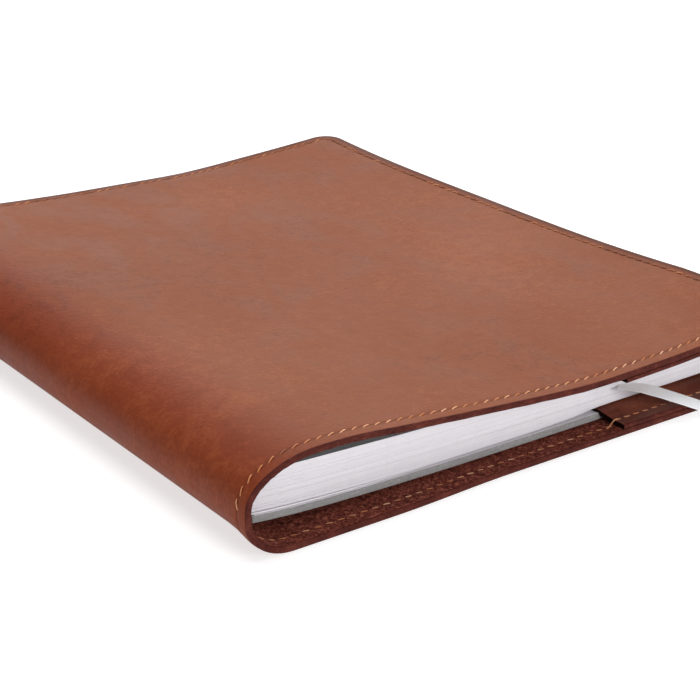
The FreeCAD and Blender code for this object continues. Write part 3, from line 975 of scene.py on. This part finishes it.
class Nodes:
    """A material's node tree with short calls."""

    def __init__(self, name):
        self.material = bpy.data.materials.new(name)
        self.material.use_nodes = True
        self.tree = self.material.node_tree
        self.shader = self.tree.nodes["Principled BSDF"]

    def add(self, kind, **settings):
        node = self.tree.nodes.new(kind)
        for key, value in settings.items():
            setattr(node, key, value)
        return node

    def link(self, a, b):
        self.tree.links.new(a, b)

    def math(self, operation, a, b=None, clamp=False):
        node = self.add("ShaderNodeMath", operation=operation, use_clamp=clamp)
        for socket, value in zip(node.inputs, (a, b)):
            if value is None:
                continue
            if isinstance(value, (int, float)):
                socket.default_value = value
            else:
                self.link(value, socket)
        return node.outputs[0]

    def weigh(self, *parts):
        """The sum of values by weight, from (value, weight) parts."""
        total = None
        for value, weight in parts:
            part = self.math("MULTIPLY", value, weight)
            total = part if total is None else self.math("ADD", total, part)
        return total

    def coordinates(self, stretch=(1, 1, 1)):
        """Flat places on the piece in metres, from its own map."""
        source = self.add("ShaderNodeUVMap", uv_map="flat").outputs["UV"]
        return self.scaled(source, stretch)

    def places(self, stretch=(1, 1, 1)):
        source = self.add("ShaderNodeTexCoord").outputs["Object"]
        return self.scaled(source, stretch)

    def scaled(self, source, stretch):
        node = self.add("ShaderNodeMapping")
        node.inputs["Scale"].default_value = stretch
        self.link(source, node.inputs["Vector"])
        return node.outputs["Vector"]

    def noise(self, where, scale, detail=4.0, rough=0.55, distortion=0.0):
        node = self.add("ShaderNodeTexNoise")
        node.inputs["Scale"].default_value = scale
        node.inputs["Detail"].default_value = detail
        node.inputs["Roughness"].default_value = rough
        node.inputs["Distortion"].default_value = distortion
        self.link(where, node.inputs["Vector"])
        return node.outputs["Fac"]

    def cells(self, where, scale, feature="F1", randomness=1.0):
        node = self.add("ShaderNodeTexVoronoi", feature=feature)
        node.inputs["Scale"].default_value = scale
        node.inputs["Randomness"].default_value = randomness
        self.link(where, node.inputs["Vector"])
        return node.outputs["Distance"]

    def ramp(self, value, stops):
        node = self.add("ShaderNodeValToRGB")
        node.color_ramp.interpolation = "EASE"
        ends = node.color_ramp.elements
        while len(ends) < len(stops):
            ends.new(0.5)
        for element, (place, colour) in zip(ends, stops):
            element.position = place
            element.color = (*colour, 1) if len(colour) == 3 else colour
        self.link(value, node.inputs["Fac"])
        return node.outputs["Color"]

    def span(self, value, low, high, to_low=0.0, to_high=1.0):
        node = self.add("ShaderNodeMapRange", interpolation_type="SMOOTHSTEP")
        ends = {"From Min": low, "From Max": high, "To Min": to_low, "To Max": to_high}
        for socket, number in ends.items():
            node.inputs[socket].default_value = number
        self.link(value, node.inputs["Value"])
        return node.outputs["Result"]

    def mix(self, share, a, b, blend="MIX"):
        node = self.add("ShaderNodeMix", data_type="RGBA", blend_type=blend)
        for socket, value in ((node.inputs["Factor"], share), (node.inputs[6], a), (node.inputs[7], b)):
            if isinstance(value, (int, float)):
                socket.default_value = value
            elif isinstance(value, tuple):
                socket.default_value = (*value, 1)
            else:
                self.link(value, socket)
        return node.outputs[2]

    def attribute(self, name):
        return self.add("ShaderNodeAttribute", attribute_name=name).outputs["Fac"]

    def bump(self, height, strength, distance, under=None):
        node = self.add("ShaderNodeBump")
        node.inputs["Strength"].default_value = strength
        node.inputs["Distance"].default_value = distance
        self.link(height, node.inputs["Height"])
        if under is not None:
            self.link(under, node.inputs["Normal"])
        return node.outputs["Normal"]

    def finish(self, colour=None, roughness=None, normal=None, **uniform):
        for value, socket in ((colour, "Base Color"), (roughness, "Roughness"), (normal, "Normal")):
            if value is not None:
                self.link(value, self.shader.inputs[socket])
        for key, value in uniform.items():
            self.shader.inputs[key.replace("_", " ")].default_value = value
        return self.material


BEND_SHADE_END = 0.046  # run from the middle of the spine where the painted shade along the bend ends


def leather_grain(n, where):
    """Fine pebbles, pores and hair-fine creases of full-grain leather, as a height."""
    pebbles = n.span(n.cells(where, 950, "SMOOTH_F1"), 0.0, 0.75, 1.0, 0.0)
    pores = n.span(n.cells(where, 1900), 0.0, 0.28, 0.0, 1.0)
    fibre = n.noise(where, 2600, 3.0)
    creases = n.noise(where, 210, 6.0, 0.6, 0.6)
    return n.weigh((pebbles, 0.45), (pores, 0.25), (fibre, 0.18), (creases, 0.7))


FAIR_TONES = [
    (0.38, (0.196, 0.056, 0.023)),
    (0.50, (0.245, 0.074, 0.032)),
    (0.62, (0.300, 0.096, 0.043)),
]
# Tones of the painted shade along the bend, where the leather turns away from the lamps.
BEND_SHADE_TONES = [
    (0.38, (0.158, 0.025, 0.007)),
    (0.50, (0.215, 0.037, 0.011)),
    (0.62, (0.280, 0.058, 0.019)),
]


def cover_leather(name, underside_shade=0.0):
    """Outer leather, darker at the rim, with painted shade along the bend and in the seam's groove; the
    second argument adds painted shade to the low half of the bend.
    """
    n = Nodes(name)
    where = n.coordinates()
    clouds = n.noise(where, 8, 3.0, 0.5, 0.4)
    patches = n.noise(n.coordinates((1, 0.55, 1)), 46, 5.0, 0.62, 0.9)
    mottle = n.noise(where, 190, 4.0, 0.6, 0.5)
    specks = n.noise(where, 720, 3.0, 0.6)
    tone = n.weigh((clouds, 0.30), (patches, 0.22), (mottle, 0.25), (specks, 0.23))
    fair, shaded_tones = n.ramp(tone, FAIR_TONES), n.ramp(tone, BEND_SHADE_TONES)
    run = n.add("ShaderNodeSeparateXYZ")
    n.link(where, run.inputs[0])
    wander = n.math("MULTIPLY", n.math("SUBTRACT", patches, 0.5), 0.028)
    past_bend = n.math("ADD", run.outputs["X"], wander)
    # Painted shade along the bend, fading out past it.
    bend_shade_mask = n.span(past_bend, 0.010, BEND_SHADE_END, 1.0, 0.0)
    colour = n.mix(n.math("MULTIPLY", bend_shade_mask, 0.92), fair, shaded_tones)
    # Painted shade on the low half of the bend, the underside of the spine.
    if underside_shade > 0:
        colour = n.mix(n.span(run.outputs["X"], 0.001, 0.012, 0.0, underside_shade), colour, (0.07, 0.018, 0.009))
    rim = n.attribute("rim")
    edge = n.span(rim, 0.0001, 0.0007, 1.0, 0.0)
    colour = n.mix(n.math("MULTIPLY", edge, 0.72), colour, (0.085, 0.020, 0.012))
    past_tail = n.span(run.outputs["Y"], -0.130, -0.118)
    handled = n.math("MULTIPLY", n.span(rim, 0.0009, 0.0046, 0.80, 0.0), past_tail)
    colour = n.mix(handled, colour, (0.075, 0.017, 0.010))
    # Painted shade in the seam's groove.
    off_seam = n.math("ABSOLUTE", n.math("SUBTRACT", rim, SEAM))
    seam_groove_shade = n.span(off_seam, 0.0002, 0.0010, 0.32, 0.0)
    colour = n.mix(seam_groove_shade, colour, (0.11, 0.030, 0.016))
    grain = leather_grain(n, where)
    normal = n.bump(grain, 0.42, 0.00026)
    rough = n.span(patches, 0.3, 0.7, 0.46, 0.60)
    return n.finish(colour, rough, normal, Specular_IOR_Level=0.10)


def cut_edge(name, depth):
    """The dyed and rubbed cut edge; depth scales its colour down, and at the pocket's mouth this darkening
    is a dark edge together with painted shade from the opening under the flap.
    """
    n = Nodes(name)
    layers = n.noise(n.places((1, 1, 3.5)), 900, 4.0)
    blots = n.noise(n.places(), 140, 3.0)
    tone = n.weigh((layers, 0.5), (blots, 0.5))
    dyes = [(0.36, (0.041, 0.0075, 0.0055)), (0.50, (0.080, 0.017, 0.012)), (0.64, (0.132, 0.034, 0.023))]
    colour = n.ramp(tone, [(place, tuple(c * depth for c in dye)) for place, dye in dyes])
    normal = n.bump(layers, 0.6, 0.0003)
    return n.finish(colour, n.span(blots, 0.3, 0.7, 0.55, 0.7), normal, Specular_IOR_Level=0.06)


def flesh_side():
    n = Nodes("flesh_side")
    where = n.coordinates()
    tufts = n.noise(where, 680, 5.0, 0.7, 1.2)
    nap = n.noise(n.coordinates((1, 2.6, 1)), 1300, 4.0, 0.7)
    pits = n.cells(where, 700, "SMOOTH_F1")
    tone = n.weigh((tufts, 0.6), (nap, 0.4))
    dyes = [(0.41, (0.055, 0.012, 0.008)), (0.5, (0.175, 0.038, 0.024)), (0.59, (0.42, 0.130, 0.085))]
    colour = n.ramp(tone, dyes)
    height = n.math("ADD", tone, n.math("MULTIPLY", pits, 0.5))
    normal = n.bump(height, 1.0, 0.0009)
    return n.finish(colour, None, normal, Roughness=0.92, Specular_IOR_Level=0.1)


def pocket_leather():
    n = Nodes("pocket_leather")
    where = n.coordinates()
    clouds = n.noise(where, 60, 4.0, 0.6, 0.6)
    specks = n.noise(where, 900, 3.0)
    tone = n.weigh((clouds, 0.7), (specks, 0.3))
    dyes = [(0.36, (0.085, 0.020, 0.011)), (0.52, (0.150, 0.038, 0.020)), (0.68, (0.22, 0.065, 0.034))]
    colour = n.ramp(tone, dyes)
    rim = n.attribute("rim")
    edge = n.span(rim, 0.0001, 0.0012, 0.6, 0.0)
    colour = n.mix(edge, colour, (0.07, 0.018, 0.012))
    normal = n.bump(leather_grain(n, where), 0.3, 0.0002)
    return n.finish(colour, n.span(clouds, 0.3, 0.7, 0.42, 0.56), normal, Specular_IOR_Level=0.14)


def thread_fibre():
    n = Nodes("thread_fibre")
    strands = n.noise(n.places(), 2600, 3.0)
    tone = n.weigh((strands, 0.55), (n.attribute("tint"), 0.45))
    dyes = [
        (0.0, (0.19, 0.055, 0.018)),
        (0.3, (0.56, 0.19, 0.058)),
        (0.5, (0.72, 0.33, 0.15)),
        (0.75, (0.86, 0.50, 0.30)),
    ]
    colour = n.ramp(tone, dyes)
    normal = n.bump(strands, 0.5, 0.0002)
    return n.finish(colour, None, normal, Roughness=0.5, Sheen_Weight=0.08, Specular_IOR_Level=0.3)


def grey_board(name, light):
    n = Nodes(name)
    fibre = n.noise(n.places((1, 1, 2)), 1300, 4.0, 0.7)
    flecks = n.cells(n.places(), 900)
    layers = n.noise(n.places((0.15, 0.15, 6)), 700, 2.0)
    tone = n.weigh((fibre, 0.6), (layers, 0.4))
    greys = [(0.36, 0.23), (0.50, 0.31), (0.64, 0.40)]
    # light below 1 darkens the board as painted shade.
    colour = n.ramp(tone, [(place, (g * light * 1.02, g * light, g * light)) for place, g in greys])
    height = n.math("ADD", tone, n.math("MULTIPLY", flecks, 0.4))
    return n.finish(colour, None, n.bump(height, 0.5, 0.0002), Roughness=0.8, Specular_IOR_Level=0.2)


def page_paper():
    n = Nodes("page_paper")
    where = n.places()
    fibre = n.noise(where, 1400, 4.0, 0.65)
    tooth = n.noise(where, 260, 3.0)
    lines = n.noise(n.places((0.02, 0.02, 14)), 260, 2.0)
    facing = n.add("ShaderNodeSeparateXYZ")
    n.link(n.add("ShaderNodeTexCoord").outputs["Normal"], facing.inputs[0])
    on_face = n.span(n.math("ABSOLUTE", facing.outputs["Z"]), 0.4, 0.9)
    lines = n.math("ADD", lines, n.math("MULTIPLY", on_face, n.math("SUBTRACT", 0.5, lines)))
    tone = n.weigh((fibre, 0.3), (lines, 0.5), (tooth, 0.2))
    whites = [(0.3, (0.70, 0.675, 0.715)), (0.52, (0.79, 0.765, 0.80)), (0.75, (0.85, 0.83, 0.86))]
    colour = n.ramp(tone, whites)
    return n.finish(colour, None, n.bump(fibre, 0.25, 0.00008), Roughness=0.72, Specular_IOR_Level=0.3)


def satin():
    n = Nodes("satin")
    warp = n.noise(n.coordinates((0.05, 1, 1)), 5200, 2.0)
    weft = n.noise(n.coordinates((1, 0.05, 1)), 4200, 2.0)
    tone = n.weigh((warp, 0.7), (weft, 0.3))
    whites = [(0.3, (0.86, 0.89, 0.91)), (0.55, (0.92, 0.945, 0.96)), (0.8, (0.95, 0.975, 0.985))]
    colour = n.ramp(tone, whites)
    normal = n.bump(tone, 0.4, 0.0001)
    return n.finish(colour, None, normal, Roughness=0.42, Sheen_Weight=0.25)


# ------------------------------ assembly


def paint(thing, *materials):
    for material in materials:
        thing.data.materials.append(material)


def soften(thing, width):
    modifier = thing.modifiers.new("soft_edges", "BEVEL")
    modifier.width = width
    modifier.segments = 2
    modifier.limit_method = "ANGLE"


def dress_cad(node, material, bevel):
    """Gives a CAD piece its finish and softens its cut edges."""
    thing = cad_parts[node]
    thing.data.materials.clear()
    paint(thing, material)
    for polygon in thing.data.polygons:
        polygon.material_index = 0
    soften(thing, bevel)


def fold_low(thing):
    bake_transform(thing)


def fold_high(thing):
    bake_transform(thing)


leather = cover_leather("cover_leather")
# A copy of the cover leather with painted shade on the low half of the bend, for the back.
back_leather_shaded = cover_leather("cover_leather_underside_shade", 0.45)
edge = cut_edge("cut_edge", 1.0)
# The pocket's mouth edge: a dark cut edge, darkened further as painted shade from the opening under the
# flap.
mouth_edge_and_shade = cut_edge("mouth_edge_and_shade", 0.14)
flesh = flesh_side()
flap = pocket_leather()
thread = thread_fibre()
board = grey_board("grey_board", 1.0)
# A darker copy of the grey board: painted shade for the front board, which lies in the shadow under the
# front leather.
shaded_board = grey_board("board_in_painted_shade", 0.20)
paper = page_paper()
ribbon_satin = satin()

back = make_cover("leather_back", back_surface, BACK_LENGTH, -1, 34 * MM, (6 * MM, 6 * MM))
paint(back, back_leather_shaded, edge, flesh)
fold_low(back)
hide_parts("back_panel")

front = make_cover("leather_front", front_surface, FRONT_LENGTH, 1, 45 * MM, (4 * MM, 5 * MM))
paint(front, leather, edge, flesh)
fold_high(front)
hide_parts("front_panel", "spine_panel")

back_pocket = make_pocket("pocket_back", back_flap_surface, 1)
front_pocket = make_pocket("pocket_front", front_flap_surface, -1)
for pocket, body, node in ((back_pocket, "back", "back_pocket"), (front_pocket, "front", "front_pocket")):
    paint(pocket, flap, edge, flesh, mouth_edge_and_shade)
    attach(pocket, body)
    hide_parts(node)

back_thread = make_stitches("thread_back", back_surface, BACK_LENGTH, -1, -0.47 * MM)
front_thread = make_stitches("thread_front", front_surface, FRONT_LENGTH, 1, 0.06 * MM)
fold_low(back_thread)
fold_high(front_thread)
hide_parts("back_stitches")
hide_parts("front_stitches", "spine_stitches")
for seam in (back_thread, front_thread):
    paint(seam, thread)

for number in range(1, SIGNATURES + 1):
    pages = make_pages(number)
    paint(pages, paper)
    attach(pages, "back" if number <= LOWER else f"leaves_{number:02d}")
    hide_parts(f"signature_{number:02d}")

flyleaf_back = make_flyleaf("flyleaf_back", under_block(0.90), under_block(0.36))
flyleaf_front = make_flyleaf("flyleaf_front", over_block(0.08 * MM), over_block(0.22 * MM))
board_back = make_back_board()
pastedown_back = make_back_pastedown()
spine_box, mull_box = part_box("case_spine"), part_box("mull")
strip = make_spine_strip("spine_strip", 0.15 * MM, 0.7 * MM, spine_box[1].y, spine_box[0].z, spine_box[1].z)
gauze = make_spine_strip("gauze", 1.0 * MM, 0.2 * MM, mull_box[1].y, mull_box[0].z, mull_box[1].z)
for thing, material, body, node, slot, bevel in (
    (flyleaf_back, paper, "back", "back_flyleaf", "paper", 0),
    (flyleaf_front, paper, "leaves_12", "front_flyleaf", "paper", 0),
    (board_back, board, "back", "back_board", "board", 0.25 * MM),
    (pastedown_back, paper, "back", "back_pastedown", "paper", 0),
    (strip, board, "spine", "case_spine", "board", 0.1 * MM),
    (gauze, paper, "spine", "mull", "paper", 0),
):
    paint(thing, material)
    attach(thing, body)
    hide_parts(node)
    if bevel:
        soften(thing, bevel)

dress_cad("front_board", shaded_board, 0.3 * MM)
dress_cad("front_pastedown", paper, 0.04 * MM)

inner_ribbon = make_inner_ribbon()
paint(inner_ribbon, ribbon_satin)
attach(inner_ribbon, "back")
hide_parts("ribbon_marker")

ribbon, ribbon_line = make_ribbon()
paint(ribbon, ribbon_satin)
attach(ribbon, "back")
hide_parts("ribbon_tail")
